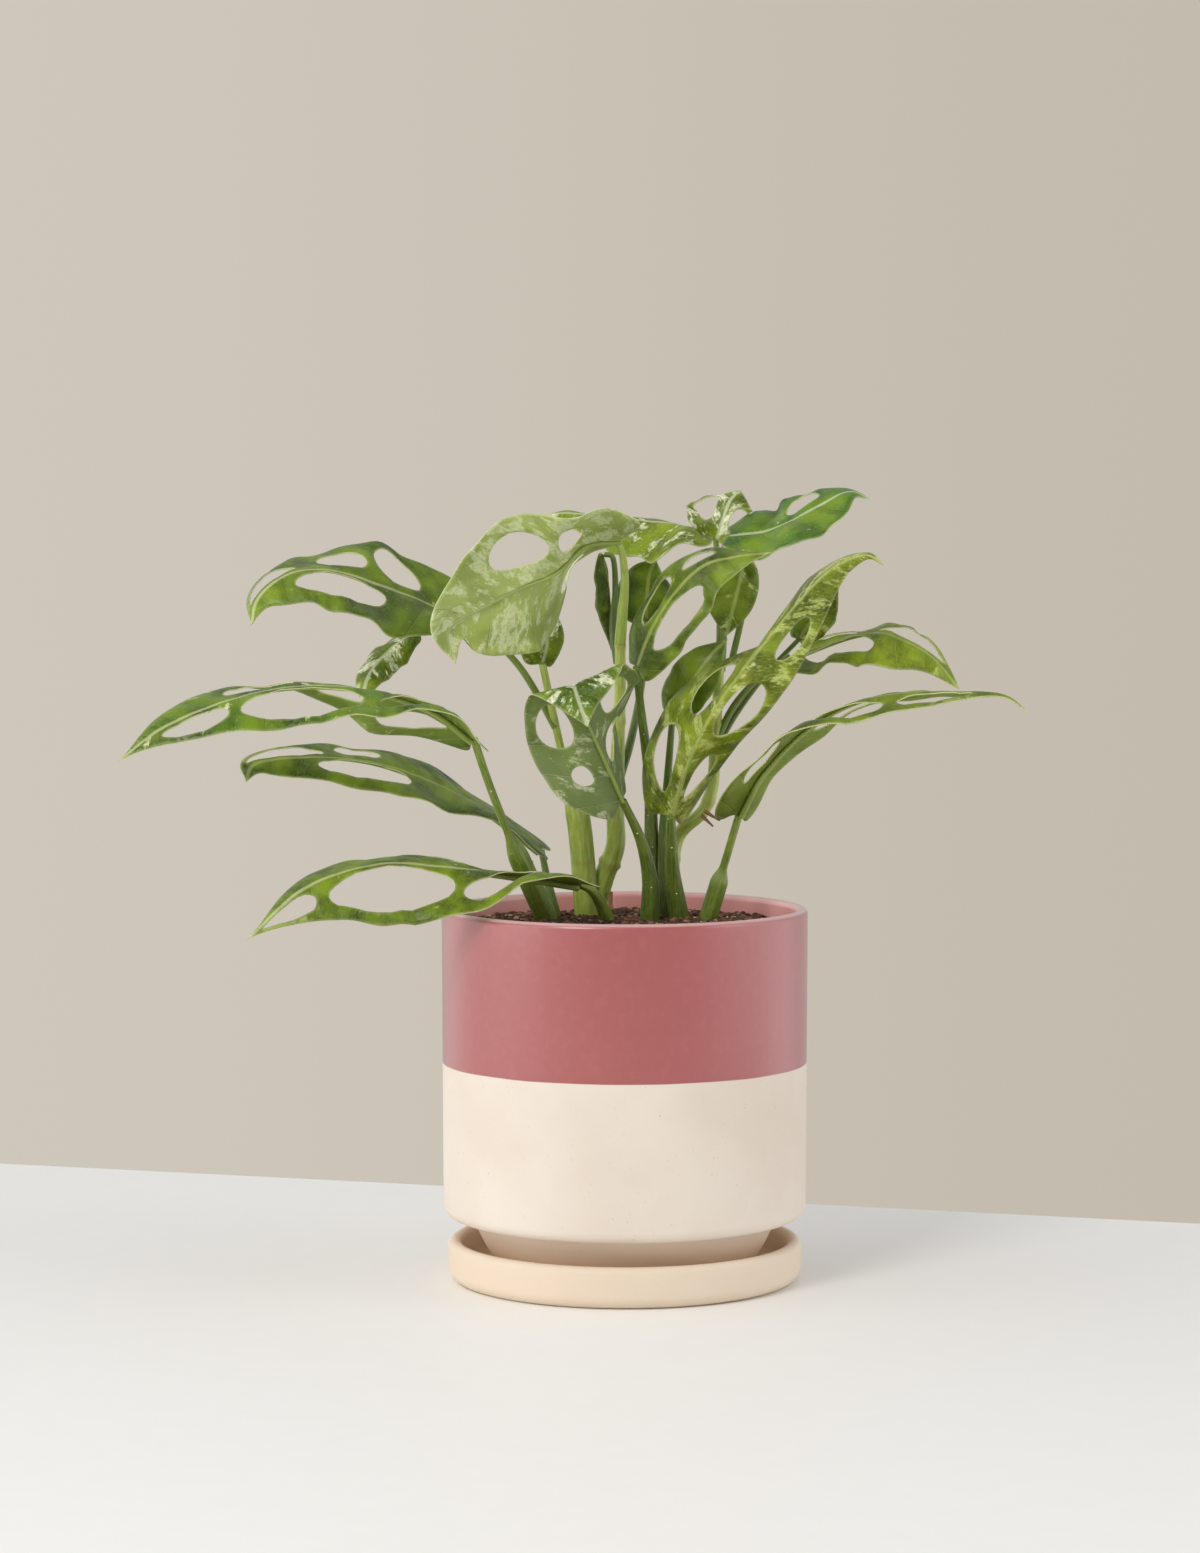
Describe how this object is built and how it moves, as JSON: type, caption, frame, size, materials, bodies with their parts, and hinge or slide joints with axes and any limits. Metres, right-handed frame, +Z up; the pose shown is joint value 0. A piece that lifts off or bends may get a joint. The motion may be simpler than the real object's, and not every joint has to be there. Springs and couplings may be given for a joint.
{
  "type": "potted plant",
  "caption": "Variegated Swiss-cheese monstera with holed leaves on slender stalks, in a two-tone round ceramic pot of soil that stands on a matching saucer.",
  "frame": {"origin": "centre of the saucer's flat underside, where the plant stands", "axes": "+Z up along the pot's axis, +X along the plant's longer spread, +Y away from the side with the folded leaf"},
  "size_m": [0.3804, 0.1728, 0.3469],
  "materials": {
    "bisque_saucer": "matt bisque",
    "two_tone_ceramic": "satin glaze over matt bisque",
    "potting_mix": "loose crumbly soil",
    "leaf_green": "waxy leaf",
    "stem_green": "waxy stem",
    "root_brown": "dry root"
  },
  "bodies": {
    "root": {"saucer": "bisque_saucer", "pot": "two_tone_ceramic", "soil": "potting_mix", "leaf_low_left": "leaf_green", "leaf_mid_left": "leaf_green", "leaf_long_left": "leaf_green", "leaf_upper_left": "leaf_green", "leaf_small_left": "leaf_green", "leaf_pale_front": "leaf_green", "leaf_hanging_centre": "leaf_green", "leaf_under_pale": "leaf_green", "leaf_top_back": "leaf_green", "leaf_top_right": "leaf_green", "leaf_crown": "leaf_green", "leaf_folded_centre": "leaf_green", "leaf_centre_right": "leaf_green", "leaf_big_right": "leaf_green", "leaf_front_left": "leaf_green", "leaf_low_right": "leaf_green", "leaf_mid_right": "leaf_green", "leaf_behind_right": "leaf_green", "leaf_inner_centre": "leaf_green", "leaf_inner_dark": "leaf_green", "cane_left": "stem_green", "cane_right": "stem_green", "stalk_low_left": "stem_green", "stalk_mid_left": "stem_green", "stalk_long_left": "stem_green", "stalk_under_pale": "stem_green", "stalk_upper_left": "stem_green", "stalk_small_left": "stem_green", "stalk_pale_front": "stem_green", "stalk_hanging_centre": "stem_green", "stalk_front_left": "stem_green", "stalk_big_right": "stem_green", "stalk_folded_centre": "stem_green", "stalk_inner_centre": "stem_green", "stalk_inner_dark": "stem_green", "stalk_crown": "stem_green", "stalk_top_right": "stem_green", "stalk_top_back": "stem_green", "stalk_centre_right": "stem_green", "stalk_mid_right": "stem_green", "stalk_behind_right": "stem_green", "stalk_low_right": "stem_green", "aerial_root_upper": "root_brown", "aerial_root_lower": "root_brown", "surface_root": "root_brown"}
  },
  "joints": []
}
